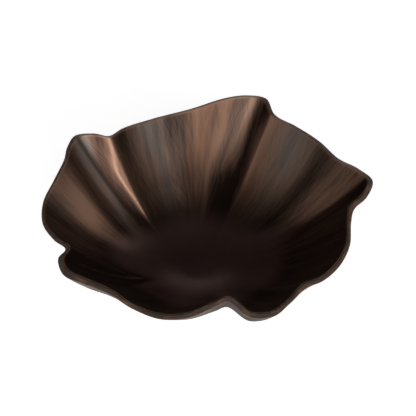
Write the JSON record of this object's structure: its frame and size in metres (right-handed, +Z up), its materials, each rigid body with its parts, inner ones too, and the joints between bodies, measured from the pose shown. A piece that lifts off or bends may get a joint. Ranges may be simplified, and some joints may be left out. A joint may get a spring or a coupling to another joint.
{
  "type": "decorative bowl",
  "caption": "Free-form copper bowl with folded, fluted walls, a thick rim strip and a turned foot ring on felt pads.",
  "frame": {"origin": "on the table, under the middle of the bowl's outline", "axes": "+Z up out of the bowl, -Y towards the front, where the deepest fold of the rim is, +X to the right"},
  "size_m": [0.3846, 0.366, 0.1214],
  "materials": {
    "shell_copper": "dark brown-black antiqued copper, wire-brushed from the floor to the rim, rubbed bright on the ridges",
    "rim_copper": "dark antiqued copper with bright copper along its edges",
    "foot_copper": "dark antiqued copper, turned",
    "felt": "dense wool felt"
  },
  "bodies": {
    "root": {"bowl_shell": "shell_copper", "rim_strip": "rim_copper", "foot_ring": "foot_copper", "felt_pad_1": "felt", "felt_pad_2": "felt", "felt_pad_3": "felt", "felt_pad_4": "felt"}
  },
  "joints": []
}
